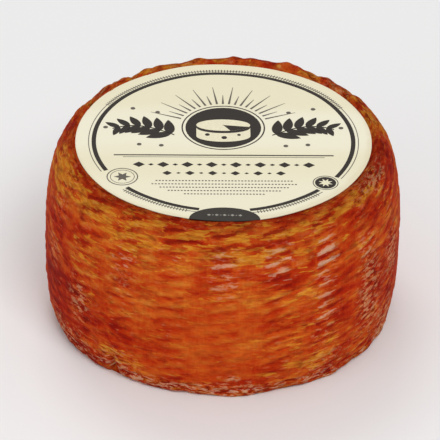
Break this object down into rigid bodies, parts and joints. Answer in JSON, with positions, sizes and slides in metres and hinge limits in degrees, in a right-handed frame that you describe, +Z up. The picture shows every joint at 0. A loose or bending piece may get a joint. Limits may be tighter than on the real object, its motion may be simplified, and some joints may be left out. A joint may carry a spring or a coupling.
{
  "type": "cheese wheel",
  "caption": "Small drum-shaped wheel of washed-rind cheese with bulging, basket-marked sides and a round paper label lying on its top face.",
  "frame": {"origin": "on the surface that the wheel stands on, under the middle of its bounding box", "axes": "+Z up, along the wheel's short axis; the label reads upright for somebody standing at -Y; +X is to their right"},
  "size_m": [0.1796, 0.1824, 0.0981],
  "materials": {
    "washed_rind": "orange-brown washed rind with darker red streaks and a pale bloom, slightly waxy",
    "label_paper": "cream printed paper"
  },
  "bodies": {
    "root": {"cheese_wheel": "washed_rind", "paper_label": "label_paper"}
  },
  "joints": []
}
